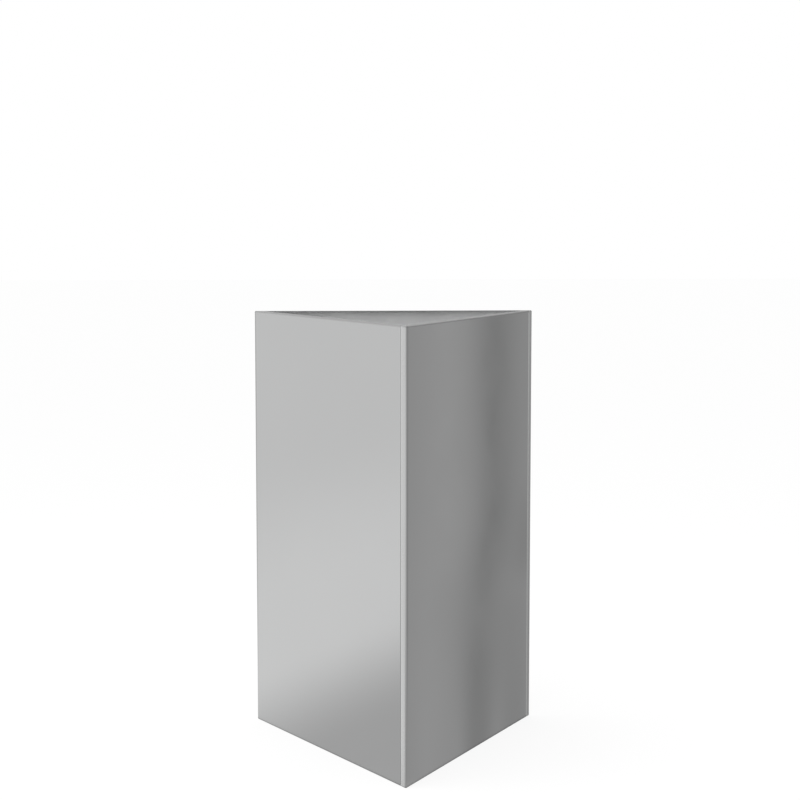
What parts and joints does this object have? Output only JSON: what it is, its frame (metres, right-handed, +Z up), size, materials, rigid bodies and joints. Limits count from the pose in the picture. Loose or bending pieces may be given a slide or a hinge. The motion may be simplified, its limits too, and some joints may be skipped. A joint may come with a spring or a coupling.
{
  "type": "triangular planter",
  "caption": "Tall open-topped floor planter of folded stainless sheet, an equilateral triangle in plan, with screwed corner seams and a lift-out drained base plate.",
  "frame": {"origin": "bottom centre of the bounding box, on the underside of the foot flanges", "axes": "+Z up, -Y towards the front corner, +Y towards the flat back face, +X to the right seen from the front corner"},
  "size_m": [0.5, 0.4336, 0.75],
  "materials": {
    "panel_steel": "satin-polished stainless sheet",
    "base_steel": "mill-finish stainless sheet",
    "fastener_steel": "plain stainless fasteners"
  },
  "bodies": {
    "shell": {"left_panel": "panel_steel", "right_panel": "panel_steel", "back_panel": "panel_steel", "front_seam_screws": "fastener_steel", "right_seam_screws": "fastener_steel", "left_seam_screws": "fastener_steel", "front_seam_washers": "fastener_steel", "right_seam_washers": "fastener_steel", "left_seam_washers": "fastener_steel", "front_seam_nuts": "fastener_steel", "right_seam_nuts": "fastener_steel", "left_seam_nuts": "fastener_steel"},
    "base": {"base_plate": "base_steel"}
  },
  "joints": [
    {"name": "base_lift", "type": "slide", "parent": "shell", "child": "base", "axis": [0, 0, 1], "range_m": [0, 0.8]}
  ]
}
